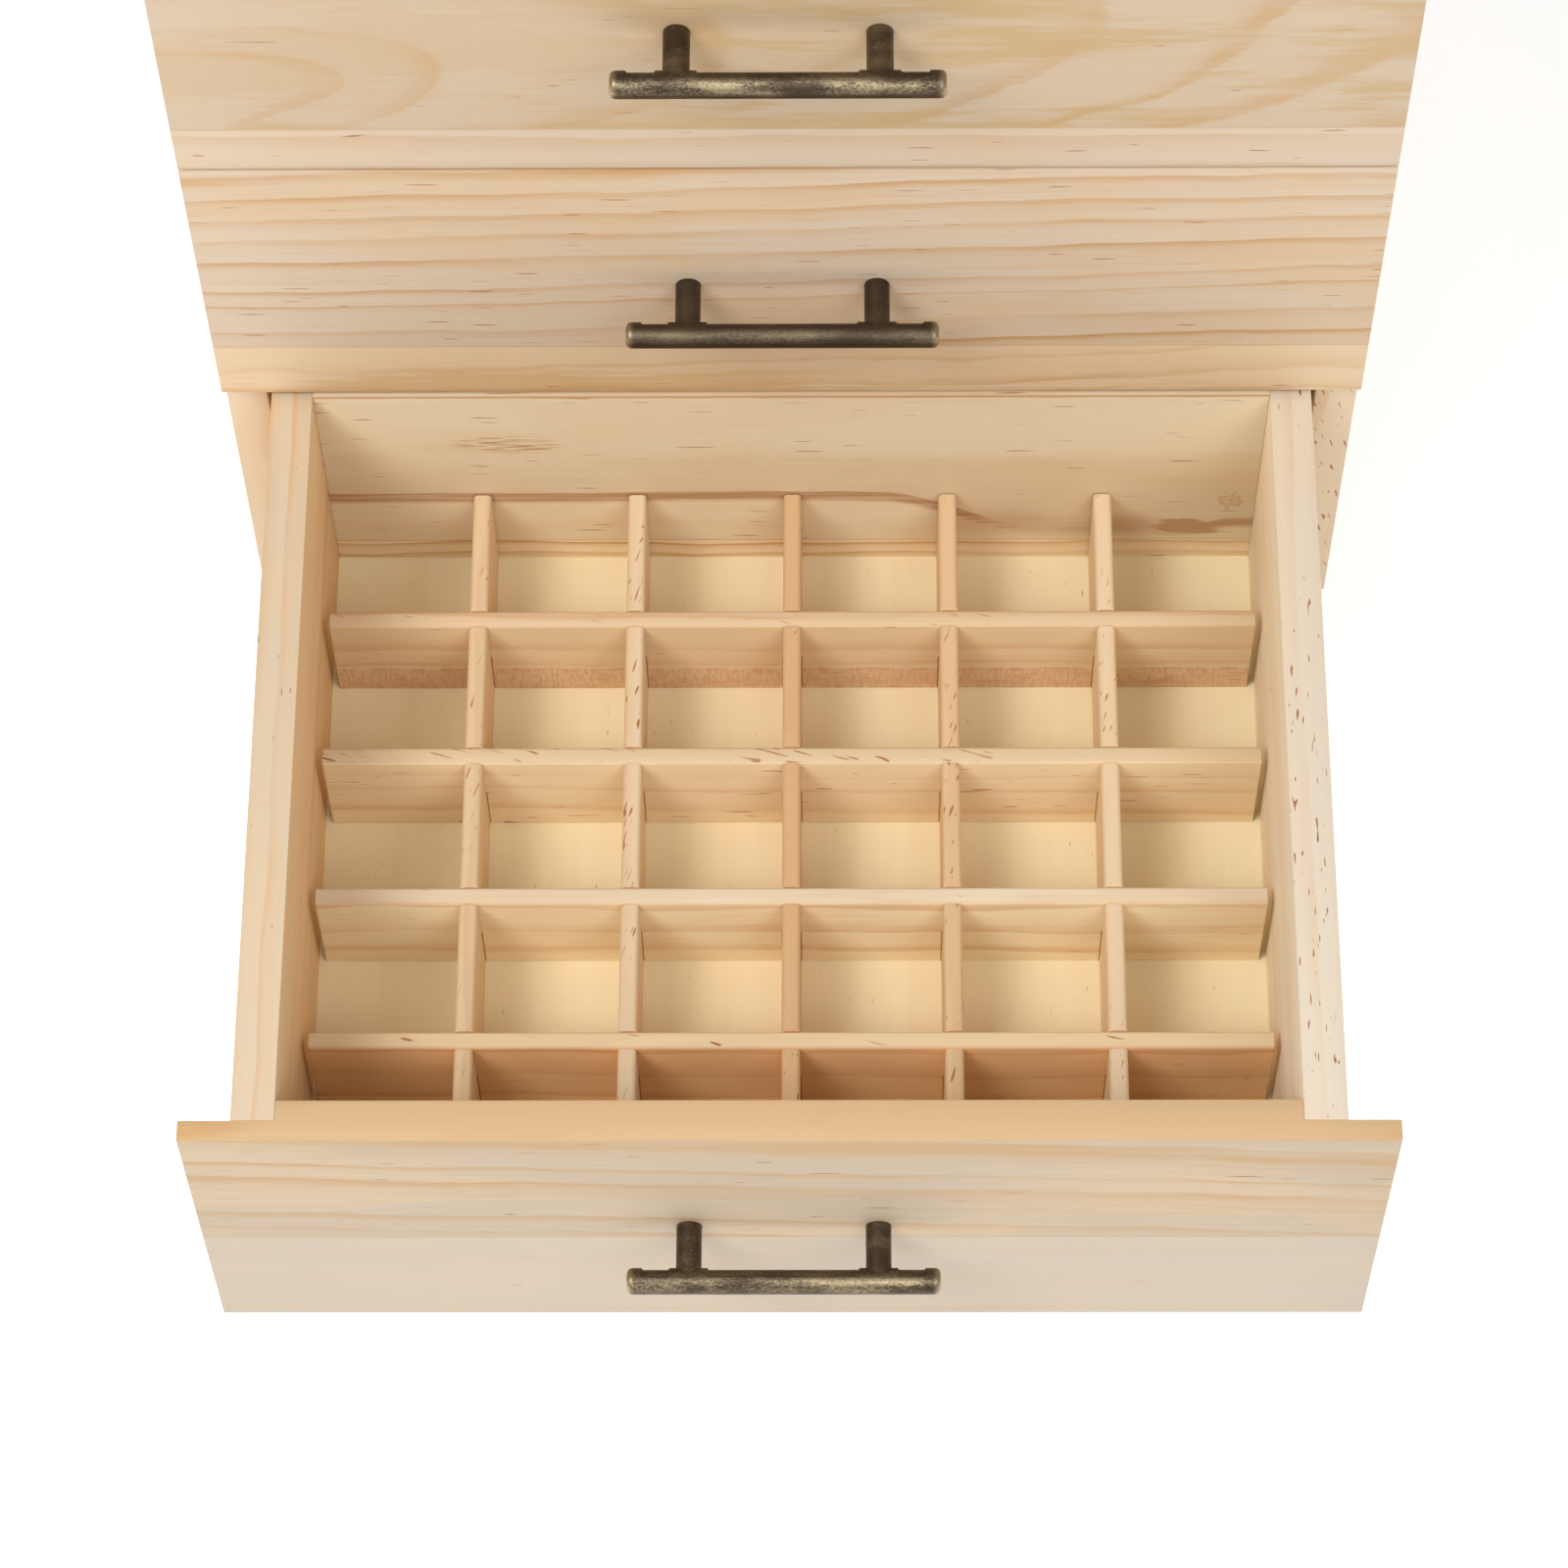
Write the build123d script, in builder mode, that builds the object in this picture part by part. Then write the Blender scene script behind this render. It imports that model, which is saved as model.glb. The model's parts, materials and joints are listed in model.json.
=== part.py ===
"""Essential oil storage box: a pine cabinet with three drawers full of small bottle cells.

Frame: +X to the right, +Y into the cabinet, +Z up, origin at the centre of the cabinet's
underside. The bottom drawer stands pulled out, the other two are closed.
"""
import os
from collections import namedtuple

from build123d import *

os.makedirs("parts", exist_ok=True)

# Cabinet, in millimetres
cabinet_width = 250.0
cabinet_depth = 200.0
board = 9.0
ply = 3.0
back_ply = 5.0
joint_depth = 3.0
back_rabbet = 4.0

# Gaps that let the drawers move
ground_gap = 0.5
front_gap = 1.0
lower_front_gap = 1.8
seat_gap = 0.4
side_gap = 1.8
slide_gap = 0.4

# Drawer fronts: one board whose outer part is left on as a lip
lip = 4.5
middle_front_height = 85.0
end_front_height = 94.0
face_bevel = 0.6

# Drawer boxes and their cells
box_length = 187.0
inner_depth = 70.0
groove_depth = 2.5
divider = 4.0
divider_height = 29.0
column_pitch = 35.1
row_pitch = 34.6
row_divider_length = 207.3
columns = 6
rows = 5
lap_play = 0.2
end_play = 0.4
divider_bevel = 0.5

# Cast bar handles and their screws
handle_shift = -1.4
hole_spacing = 40.0
bar_length = 66.0
bar_radius = 2.8
bar_reach = 12.6
cap_length = 3.2
cap_bevel = 0.9
hollow_step = 0.3
boss_width = 8.2
post_radius = 2.7
thread_depth = 7.0
screw_radius = 1.9
screw_hole_radius = 2.2
screw_head_radius = 3.8
screw_head_height = 2.4
bottom_handle_drop = 44.9

# Headless brads that hold the back panel
brad_radius = 0.9
brad_length = 18.0
brad_count = 3
brad_pitch = 90.0

# Places that follow from the sizes above
face = -cabinet_depth / 2
rear = cabinet_depth / 2
half_width = cabinet_width / 2
opening_half = half_width - board
carcass_front = face + lip + seat_gap
bottom_front_low = ground_gap
bottom_front_high = bottom_front_low + end_front_height
middle_front_low = bottom_front_high + lower_front_gap
middle_front_high = middle_front_low + middle_front_height
top_front_low = middle_front_high + front_gap
cabinet_height = top_front_low + end_front_height
lower_shelf_low = bottom_front_high + slide_gap
upper_shelf_low = middle_front_high + slide_gap
back_plane = rear - back_ply
box_half = opening_half - side_gap
inner_half = box_half - board

# The pulled-out drawer keeps a short length of its sides inside the cabinet
kept_inside = 3.9
pulled_out = box_length - (carcass_front - face) - kept_inside

Drawer = namedtuple("Drawer", "name face front_low front_high box_low box_high handle_height")
drawers = (
    Drawer("bottom", face - pulled_out, bottom_front_low, bottom_front_high,
           board + slide_gap, bottom_front_high, bottom_front_high - bottom_handle_drop),
    Drawer("middle", face, middle_front_low, middle_front_high,
           lower_shelf_low + ply + slide_gap, middle_front_high,
           (middle_front_low + middle_front_high) / 2),
    Drawer("top", face, top_front_low, cabinet_height,
           upper_shelf_low + ply + slide_gap, cabinet_height - board - slide_gap,
           (top_front_low + cabinet_height) / 2),
)


def save(piece, name):
    """Label a finished piece and write it to its own file."""
    piece.part.label = name
    export_step(piece.part, f"parts/{name}.step")


def front_view(y):
    """Plane of the front view at depth y: sketch X is world X, sketch Y is world Z."""
    return Plane(origin=(0, y, 0), x_dir=(1, 0, 0), z_dir=(0, -1, 0))


def rectangle(x_low, x_high, y_low, y_high, mode=Mode.ADD):
    """Rectangle between two corners of the sketch in hand."""
    with Locations(((x_low + x_high) / 2, (y_low + y_high) / 2)):
        Rectangle(x_high - x_low, y_high - y_low, mode=mode)


# Cabinet: two sides, top, bottom, two thin shelves and a let-in back
def cabinet_side(sign):
    """Side board with rabbets for top, bottom and back, and a groove for each shelf."""
    inner = opening_half * sign
    seat = (opening_half + joint_depth) * sign
    outer = half_width * sign
    with BuildPart() as side:
        with BuildSketch(front_view(rear)):
            rectangle(min(inner, outer), max(inner, outer), 0, cabinet_height)
            seats = (
                (0, board),
                (lower_shelf_low, lower_shelf_low + ply),
                (upper_shelf_low, upper_shelf_low + ply),
                (cabinet_height - board, cabinet_height),
            )
            for low, high in seats:
                rectangle(min(inner, seat), max(inner, seat), low, high, mode=Mode.SUBTRACT)
        extrude(amount=rear - carcass_front)
        let_in = (opening_half + back_rabbet) * sign
        with BuildSketch(Plane.XY):
            rectangle(min(inner, let_in), max(inner, let_in), back_plane, rear)
        extrude(amount=cabinet_height, mode=Mode.SUBTRACT)
    return side


def cabinet_panel(low, thickness):
    """Horizontal panel whose ends are let into the side boards."""
    panel_half = opening_half + joint_depth
    with BuildPart() as panel:
        with BuildSketch(Plane.XY.offset(low)):
            rectangle(-panel_half, panel_half, carcass_front, back_plane)
        extrude(amount=thickness)
    return panel


def brad_row(height, mode):
    """Row of brads, or of their holes, driven from the back into the edge of a panel."""
    with BuildSketch(front_view(rear - brad_length)) as ends:
        with Locations((0, height)):
            with GridLocations(brad_pitch, 0, brad_count, 1):
                Circle(brad_radius)
    extrude(ends.sketch, amount=-brad_length, mode=mode)


save(cabinet_side(-1), "cabinet_side_left")
save(cabinet_side(1), "cabinet_side_right")
save(cabinet_panel(lower_shelf_low, ply), "shelf_lower")
save(cabinet_panel(upper_shelf_low, ply), "shelf_upper")

brad_heights = (board / 2, cabinet_height - board / 2)
for name, low, brad_height in (
    ("cabinet_bottom", 0, brad_heights[0]),
    ("cabinet_top", cabinet_height - board, brad_heights[1]),
):
    with BuildPart() as panel:
        add(cabinet_panel(low, board).part)
        brad_row(brad_height, Mode.SUBTRACT)
    save(panel, name)

with BuildPart() as cabinet_back:
    back_half = opening_half + back_rabbet
    with BuildSketch(front_view(rear)):
        rectangle(-back_half, back_half, 0, cabinet_height)
    extrude(amount=back_ply)
    for height in brad_heights:
        brad_row(height, Mode.SUBTRACT)
save(cabinet_back, "cabinet_back")

with BuildPart() as back_brads:
    for height in brad_heights:
        brad_row(height, Mode.ADD)
save(back_brads, "back_brads")


# Drawers: a lipped front, two sides, a back, a thin base and a grid of lapped dividers
def drawer_front(drawer):
    """Front board: the lip covers the cabinet, the thicker middle fits between the sides."""
    with BuildPart() as front:
        with BuildSketch(front_view(drawer.face + lip)):
            rectangle(-half_width, half_width, drawer.front_low, drawer.front_high)
        extrude(amount=lip)
        chamfer(front.faces().sort_by(Axis.Y)[0].edges(), face_bevel)
        with BuildSketch(front_view(drawer.face + board)):
            rectangle(-inner_half, inner_half, drawer.box_low, drawer.box_high)
        extrude(amount=board - lip)
        groove_low = drawer.box_high - inner_depth - ply
        with BuildSketch(front_view(drawer.face + board)):
            rectangle(-inner_half, inner_half, groove_low, groove_low + ply)
        extrude(amount=groove_depth, mode=Mode.SUBTRACT)
        with Locations(front_view(drawer.face)):
            with Locations((handle_shift, drawer.handle_height)):
                with GridLocations(hole_spacing, 0, 2, 1):
                    Hole(screw_hole_radius)
    return front


def drawer_side(drawer, sign):
    """Side board, from the back of the lip to the rear of the drawer, with the base groove."""
    inner = inner_half * sign
    outer = box_half * sign
    seat = (inner_half + groove_depth) * sign
    groove_low = drawer.box_high - inner_depth - ply
    with BuildPart() as side:
        with BuildSketch(front_view(drawer.face + box_length)):
            rectangle(min(inner, outer), max(inner, outer), drawer.box_low, drawer.box_high)
            rectangle(min(inner, seat), max(inner, seat), groove_low, groove_low + ply,
                      mode=Mode.SUBTRACT)
        extrude(amount=box_length - lip)
    return side


def drawer_back(drawer):
    """Back board between the sides, with the base groove along its inner face."""
    inner_face = drawer.face + box_length - board
    groove_low = drawer.box_high - inner_depth - ply
    with BuildPart() as back:
        with BuildSketch(Plane.YZ.offset(-inner_half)):
            rectangle(inner_face, inner_face + board, drawer.box_low, drawer.box_high)
            rectangle(inner_face, inner_face + groove_depth, groove_low, groove_low + ply,
                      mode=Mode.SUBTRACT)
        extrude(amount=2 * inner_half)
    return back


def drawer_base(drawer):
    """Thin plywood base that sits in the grooves all round."""
    base_half = inner_half + groove_depth
    with BuildPart() as base:
        with BuildSketch(Plane.XY.offset(drawer.box_high - inner_depth - ply)):
            rectangle(-base_half, base_half, drawer.face + board - groove_depth,
                      drawer.face + box_length - board + groove_depth)
        extrude(amount=ply)
    return base


def row_divider(drawer, y):
    """Divider across the drawer, notched from below at each crossing."""
    floor = drawer.box_high - inner_depth
    with BuildPart() as strip:
        with BuildSketch(front_view(y)):
            rectangle(-row_divider_length / 2, row_divider_length / 2, floor,
                      floor + divider_height)
            with Locations((0, floor + divider_height / 4)):
                with GridLocations(column_pitch, 0, columns - 1, 1):
                    Rectangle(divider + lap_play, divider_height / 2 + lap_play,
                              mode=Mode.SUBTRACT)
        extrude(amount=divider / 2, both=True)
        for end in (0, -1):
            corners = strip.faces().sort_by(Axis.X)[end].edges().filter_by(Axis.Z)
            chamfer(corners, divider_bevel)
    return strip


def cross_divider(drawer, x):
    """Divider from front to back, notched from above at each crossing."""
    floor = drawer.box_high - inner_depth
    depth = box_length - 2 * board
    centre = drawer.face + box_length / 2
    with BuildPart() as strip:
        with BuildSketch(Plane.YZ.offset(x)):
            rectangle(centre - depth / 2 + end_play, centre + depth / 2 - end_play, floor,
                      floor + divider_height)
            with Locations((centre, floor + 3 * divider_height / 4)):
                with GridLocations(row_pitch, 0, rows - 1, 1):
                    Rectangle(divider + lap_play, divider_height / 2 + lap_play,
                              mode=Mode.SUBTRACT)
        extrude(amount=divider / 2, both=True)
    return strip


def handle(drawer):
    """Cast handle: a round bar with a hollowed back, on two round posts with screw holes."""
    bar_y = drawer.face - bar_reach
    z = drawer.handle_height
    with BuildPart() as casting:
        with BuildSketch(Plane(origin=(handle_shift, bar_y, z), x_dir=(1, 0, 0),
                               z_dir=(0, 0, 1))) as half_bar:
            with Locations((0, bar_radius / 2)):
                Rectangle(bar_length, bar_radius)
            chamfer(half_bar.vertices().group_by(Axis.Y)[-1], cap_bevel)
        revolve(axis=Axis((0, bar_y, z), (1, 0, 0)))
        boss_half = boss_width / 2
        post = hole_spacing / 2
        cap = bar_length / 2 - cap_length
        for start, end in ((-cap, -post - boss_half), (boss_half - post, post - boss_half),
                           (post + boss_half, cap)):
            with BuildSketch(Plane(origin=(handle_shift + start, bar_y, z), x_dir=(0, 1, 0),
                                   z_dir=(1, 0, 0))):
                Circle(bar_radius + hollow_step)
                Circle(bar_radius - hollow_step, mode=Mode.SUBTRACT)
                rectangle(-2 * bar_radius, 0, -2 * bar_radius, 2 * bar_radius,
                          mode=Mode.SUBTRACT)
            extrude(amount=end - start, mode=Mode.SUBTRACT)
        with BuildSketch(front_view(drawer.face)):
            with Locations((handle_shift, z)):
                with GridLocations(hole_spacing, 0, 2, 1):
                    Circle(post_radius)
        extrude(amount=bar_reach)
        with Locations(Plane(origin=(handle_shift, drawer.face, z), x_dir=(1, 0, 0),
                             z_dir=(0, 1, 0))):
            with GridLocations(hole_spacing, 0, 2, 1):
                Hole(screw_radius, depth=thread_depth)
    return casting


def handle_screws(drawer):
    """Two pan-head screws from inside the drawer into the posts of the handle."""
    head_plane = drawer.face + board
    with BuildPart() as pair:
        for side in (-1, 1):
            x = handle_shift + side * hole_spacing / 2
            with BuildSketch(Plane(origin=(x, 0, drawer.handle_height), x_dir=(1, 0, 0),
                                   z_dir=(0, 0, 1))):
                rectangle(0, screw_radius, drawer.face - thread_depth, head_plane)
                rectangle(0, screw_head_radius, head_plane, head_plane + screw_head_height)
            revolve(axis=Axis((x, 0, drawer.handle_height), (0, 1, 0)))
    return pair


for drawer in drawers:
    save(drawer_front(drawer), f"{drawer.name}_drawer_front")
    save(drawer_side(drawer, -1), f"{drawer.name}_drawer_side_left")
    save(drawer_side(drawer, 1), f"{drawer.name}_drawer_side_right")
    save(drawer_back(drawer), f"{drawer.name}_drawer_back")
    save(drawer_base(drawer), f"{drawer.name}_drawer_base")
    for row in range(rows - 1):
        y = drawer.face + box_length / 2 + (row - (rows - 2) / 2) * row_pitch
        save(row_divider(drawer, y), f"{drawer.name}_row_divider_{row + 1}")
    for column in range(columns - 1):
        x = (column - (columns - 2) / 2) * column_pitch
        save(cross_divider(drawer, x), f"{drawer.name}_cross_divider_{column + 1}")
    save(handle(drawer), f"{drawer.name}_handle")
    save(handle_screws(drawer), f"{drawer.name}_handle_screws")
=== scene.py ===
"""Essential oil storage box: three pine drawers of small cells, with cast bronze bar handles."""
import json
from math import radians

import bmesh
import bpy
from bpy.props import FloatProperty, FloatVectorProperty, PointerProperty
from mathutils import Matrix, Vector


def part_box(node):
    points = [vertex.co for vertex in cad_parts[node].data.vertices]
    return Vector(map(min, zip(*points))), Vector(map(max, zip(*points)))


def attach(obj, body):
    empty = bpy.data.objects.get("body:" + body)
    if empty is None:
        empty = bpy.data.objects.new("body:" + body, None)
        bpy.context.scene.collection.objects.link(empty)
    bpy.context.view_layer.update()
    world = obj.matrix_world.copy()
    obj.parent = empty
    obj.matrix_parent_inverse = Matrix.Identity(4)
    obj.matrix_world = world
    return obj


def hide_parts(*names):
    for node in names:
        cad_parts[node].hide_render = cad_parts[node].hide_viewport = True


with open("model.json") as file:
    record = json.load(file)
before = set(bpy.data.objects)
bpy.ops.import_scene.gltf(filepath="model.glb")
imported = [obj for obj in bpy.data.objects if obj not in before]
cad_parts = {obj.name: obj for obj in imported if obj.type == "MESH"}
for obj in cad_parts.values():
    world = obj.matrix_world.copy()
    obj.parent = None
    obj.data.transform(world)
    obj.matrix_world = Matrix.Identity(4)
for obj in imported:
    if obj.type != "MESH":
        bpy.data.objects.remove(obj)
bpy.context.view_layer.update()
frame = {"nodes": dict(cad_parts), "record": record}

bl_info = {
    "name": "Essential oil storage box",
    "version": (1, 0, 0),
    "blender": (4, 5, 0),
    "location": "3D View > Sidebar > Storage box",
    "description": "Builds the boards, dividers, handles and finishes of a small drawer cabinet",
    "category": "Add Mesh",
}

DRAWERS = ("bottom", "middle", "top")
ROWS = range(1, 5)
COLUMNS = range(1, 6)


# Sizes and colours that a user would change
def color_property(name, description, default):
    return FloatVectorProperty(name=name, description=description, default=default, size=3,
                               subtype="COLOR", min=0.0, max=1.0)


def number(name, description, default, unit="NONE", subtype="NONE"):
    return FloatProperty(name=name, description=description, default=default, unit=unit,
                         subtype=subtype)


class WoodSettings(bpy.types.PropertyGroup):
    edge_ease: number("Edge ease", "Width of the sanded edges of the boards", 0.00025, "LENGTH")
    strip_round: number(
        "Divider round", "Radius along the top edges of the dividers", 0.001, "LENGTH")
    screw_hole: number(
        "Screw hole", "Radius of the holes through the drawer fronts", 0.0022, "LENGTH")
    early: color_property("Pale wood", "Early wood between the lines", (0.79, 0.63, 0.46))
    late: color_property("Dark lines", "Late wood of the growth rings", (0.63, 0.37, 0.17))
    warm: color_property("Tan patches", "Soft tan clouds in the wood", (0.73, 0.52, 0.3))
    resin: color_property("Resin", "Short resin canals", (0.33, 0.12, 0.04))
    strip: color_property("Divider wood", "Pinkish wood of the dividers", (0.83, 0.64, 0.44))
    veneer: color_property("Plywood face", "Pale veneer of the bases", (0.86, 0.74, 0.49))


class HandleSettings(bpy.types.PropertyGroup):
    bar_radius: number("Bar radius", "Radius of the round bar", 0.0028, "LENGTH")
    post_radius: number("Post radius", "Radius of the two posts", 0.0027, "LENGTH")
    hole_spacing: number(
        "Hole spacing", "Distance between the screws of one handle", 0.04, "LENGTH")
    cap_length: number(
        "Cap length", "Length of the full round at each end of the bar", 0.0032, "LENGTH")
    boss_width: number("Boss width", "Length of the full round at each post", 0.0082, "LENGTH")
    hollow: number("Hollow", "Depth of the step along the back of the bar", 0.0004, "LENGTH")
    casting_grid: number(
        "Casting grid", "Size of the mesh that blends the casting's corners", 0.00016, "LENGTH")
    patina: color_property("Patina", "Dark bronze", (0.076, 0.056, 0.039))
    # The rubbed colour is also the painted highlight on the bar's upper front
    rubbed: color_property("Rubbed metal", "Brass where the patina is rubbed through",
                           (0.56, 0.45, 0.27))


class StageSettings(bpy.types.PropertyGroup):
    lens: number("Lens", "Focal length in mm on a 36 mm wide sensor", 118.975)
    camera_place: FloatVectorProperty(
        name="Camera place", description="Where the camera stands",
        default=(0.00925, -0.70441, 1.06272), size=3, subtype="TRANSLATION")
    pitch: number("Pitch", "How far the camera looks down", radians(62.305), subtype="ANGLE")
    yaw: number("Yaw", "How far the camera looks to the left", radians(1.179), subtype="ANGLE")
    roll: number("Roll", "How far the camera leans", radians(-1.134), subtype="ANGLE")
    key_power: number("Key light", "Power of the large soft light on the left", 29.4, "POWER")
    fill_power: number("Fill light", "Power of the soft light on the right", 15.0, "POWER")
    front_power: number("Front light", "Power of the low soft light in front", 3.8, "POWER")
    room: number("Room light", "Strength of the even light all round", 0.365)
    floor_glow: number("Floor glow", "Light that the lit paper floor gives off", 0.38)
    floor_size: number("Floor size", "Width of the pale floor", 8.0, "LENGTH")


# Node trees
class Tree:
    """Short words for adding and joining shader nodes."""

    def __init__(self, tree):
        self.tree = tree

    def feed(self, socket, value):
        if isinstance(value, bpy.types.NodeSocket):
            self.tree.links.new(value, socket)
        elif value is not None:
            socket.default_value = value

    def node(self, kind, settings=None, **inputs):
        node = self.tree.nodes.new(kind)
        for key, value in (settings or {}).items():
            setattr(node, key, value)
        for key, value in inputs.items():
            self.feed(node.inputs[key.replace("_", " ")], value)
        return node

    def math(self, operation, first, second=None, third=None):
        node = self.node("ShaderNodeMath", {"operation": operation})
        for socket, value in zip(node.inputs, (first, second, third)):
            self.feed(socket, value)
        return node.outputs[0]

    def minus(self, first, second):
        return self.math("SUBTRACT", first, second)

    def larger(self, first, second):
        return self.math("MAXIMUM", first, second)

    def scaled(self, value, factor, offset):
        return self.math("MULTIPLY_ADD", value, factor, offset)

    def total(self, *values):
        result = values[0]
        for value in values[1:]:
            result = self.math("ADD", result, value)
        return result

    def product(self, *values):
        result = values[0]
        for value in values[1:]:
            result = self.math("MULTIPLY", result, value)
        return result

    def remap(self, value, low, high, to_low=0.0, to_high=1.0):
        node = self.node("ShaderNodeMapRange", {"interpolation_type": "SMOOTHSTEP"})
        for socket, item in zip(node.inputs, (value, low, high, to_low, to_high)):
            self.feed(socket, item)
        return node.outputs[0]

    def mix(self, factor, first, second):
        """Blend two numbers or two colours."""
        kind = "FLOAT" if isinstance(second, float) else "RGBA"
        places = (0, 2, 3) if kind == "FLOAT" else (0, 6, 7)
        node = self.node("ShaderNodeMix", {"data_type": kind})
        for index, value in zip(places, (factor, first, second)):
            self.feed(node.inputs[index], value)
        return node.outputs[0 if kind == "FLOAT" else 2]

    def split(self, vector):
        return self.node("ShaderNodeSeparateXYZ", Vector=vector).outputs

    def join(self, *parts):
        return self.node("ShaderNodeCombineXYZ", X=parts[0], Y=parts[1], Z=parts[2]).outputs[0]

    def noise(self, parts, along, across, offset, detail=2.0, roughness=0.5):
        """Noise with one scale along the grain and one across it, moved by an offset."""
        vector = self.join(*(self.scaled(part, scale, offset)
                             for part, scale in zip(parts, (along, across, across))))
        node = self.node("ShaderNodeTexNoise", Vector=vector, Scale=1.0, Detail=detail,
                         Roughness=roughness)
        return node.outputs["Fac"]

    def swing(self, *places, **options):
        """Noise that swings about zero."""
        return self.minus(self.noise(*places, **options), 0.5)

    def noise_line(self, place, detail):
        """Noise along one number."""
        node = self.node("ShaderNodeTexNoise", {"noise_dimensions": "1D"}, W=place, Scale=1.0,
                         Detail=detail)
        return node.outputs["Fac"]

    def group(self, name, builder, **inputs):
        """Outputs of a node group, which is built at its first use."""
        tree = bpy.data.node_groups.get(name) or builder()
        return self.node("ShaderNodeGroup", {"node_tree": tree}, **inputs).outputs

    def tinted(self, factor, color, tint):
        """Colour multiplied by a tint as far as the factor says."""
        node = self.node("ShaderNodeVectorMath", {"operation": "MULTIPLY"})
        self.feed(node.inputs[0], color)
        self.feed(node.inputs[1], tint)
        return self.mix(factor, color, node.outputs[0])


def new_group(name, numbers, colors, outputs):
    """Node group for a vector, numbers and colours: its tree, inputs, outputs and place."""
    t = Tree(bpy.data.node_groups.new(name, "ShaderNodeTree"))
    inputs = [("Vector", "Vector", None)]
    inputs += [(label, "Float", value) for label, value in numbers.items()]
    inputs += [(label, "Color", None) for label in colors]
    for direction, sockets in (("INPUT", inputs), ("OUTPUT", outputs)):
        for label, kind, default in sockets:
            socket = t.tree.interface.new_socket(
                name=label, in_out=direction, socket_type=f"NodeSocket{kind}")
            if default is not None:
                socket.default_value = default
    given = t.tree.nodes.new("NodeGroupInput").outputs
    out = t.tree.nodes.new("NodeGroupOutput").inputs
    return t, given, out, t.split(given["Vector"])


SURFACE = (("Color", "Color", None), ("Roughness", "Float", None), ("Height", "Float", None))
PINE_NUMBERS = {"Seed": 0.0, "Ring Width": 0.0083, "Pith Across": -0.25, "Pith Deep": -0.1,
                "Lean": 0.0, "Rise": 0.0, "Wave": 0.004, "Wobble": 1.0, "Contrast": 0.8,
                "Patches": 0.3, "Streaks": 0.24, "Dashes": 0.5, "Dash Length": 0.004,
                "Slant": 0.0, "End Grain": 0.0}
PINE_COLORS = ("Early", "Late", "Warm", "Resin")


def pine_group():
    """Growth rings round a pith line, with clouds, streaks, fibres and short resin dashes."""
    t, given, out, axes = new_group("Pine grain", PINE_NUMBERS, PINE_COLORS, SURFACE)
    along, across, deep = axes
    seed = given["Seed"]

    def noise_at(long, wide, offset, parts=axes, **options):
        return t.noise(parts, long, wide, t.math("ADD", seed, offset), **options)

    def swing_at(*places, **options):
        return t.minus(noise_at(*places, **options), 0.5)

    bend = swing_at(5.0, 9.0, 0.3)
    ripple = swing_at(30.0, 26.0, 3.1)
    feather = swing_at(70.0, 850.0, 5.9)
    side = t.minus(across, given["Pith Across"])
    side = t.minus(side, t.product(along, given["Rise"]))
    side = t.total(side, t.product(bend, given["Wave"]))
    depth = t.total(t.minus(deep, given["Pith Deep"]), t.product(along, given["Lean"]))
    radius = t.math("SQRT", t.total(t.product(side, side), t.product(depth, depth)))
    rough = t.total(t.product(ripple, 0.003), t.product(feather, 0.0006))
    radius = t.total(radius, t.product(rough, given["Wobble"]))
    rings = t.math("DIVIDE", radius, given["Ring Width"])
    spread = t.noise_line(t.scaled(rings, 0.45, seed), 1.0)
    rings = t.total(rings, t.product(spread, 1.5))
    place = t.math("FRACT", rings)
    body = t.remap(place, 0.1, 0.92)
    crest = t.remap(place, 0.62, 0.93)
    fall = t.remap(place, 0.94, 1.0, 1.0, 0.0)
    ring_tone = t.node("ShaderNodeTexWhiteNoise", {"noise_dimensions": "1D"},
                       W=t.math("ADD", t.math("FLOOR", rings), seed))
    strength = t.remap(ring_tone.outputs["Value"], 0.0, 1.0, 0.5, 1.0)
    fade = t.remap(noise_at(11.0, 130.0, 2.2), 0.34, 0.62, 0.45, 1.0)
    late = t.product(t.total(t.product(body, 0.27), t.product(crest, 0.73)), fall, strength, fade)
    thin = t.noise_line(t.scaled(rings, 6.7, seed), 2.0)
    thin = t.remap(thin, 0.5, 0.72)
    late = t.total(late, t.product(thin, fade, 0.16))

    fibre = swing_at(22.0, 1250.0, 0.0, roughness=0.6)
    streak = swing_at(5.0, 170.0, 7.7)
    cloud = t.total(noise_at(10.0, 34.0, 1.3, detail=3.0, roughness=0.55),
                    t.product(feather, 0.3))
    cloud = t.product(t.remap(cloud, 0.47, 0.62), given["Patches"])
    slanted = (along, across, t.minus(deep, t.product(along, given["Slant"])))
    dash_scale = t.math("DIVIDE", 0.5, given["Dash Length"])
    dash = noise_at(dash_scale, 1600.0, 4.5, detail=0.0, parts=slanted)
    where = noise_at(22.0, 70.0, 9.4, detail=1.0)
    rare = t.scaled(given["Dashes"], -0.12, 0.84)
    dash = t.remap(t.minus(dash, rare), 0.0, 0.04)
    dash = t.product(dash, t.remap(where, 0.36, 0.54), 0.92)

    amount = t.total(t.product(late, given["Contrast"]), t.product(fibre, 0.12),
                     t.product(streak, given["Streaks"]), t.product(given["End Grain"], 0.22))
    amount = t.node("ShaderNodeClamp", Value=amount).outputs[0]
    color = t.mix(cloud, given["Early"], given["Warm"])
    color = t.mix(amount, color, given["Late"])
    color = t.mix(dash, color, given["Resin"])
    t.feed(out["Color"], color)
    t.feed(out["Roughness"], t.remap(late, 0.0, 1.0, 0.64, 0.52))
    t.feed(out["Height"], t.total(t.product(fibre, 0.7), t.product(late, 0.25),
                                  t.product(dash, -0.25)))
    return t.tree


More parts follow.
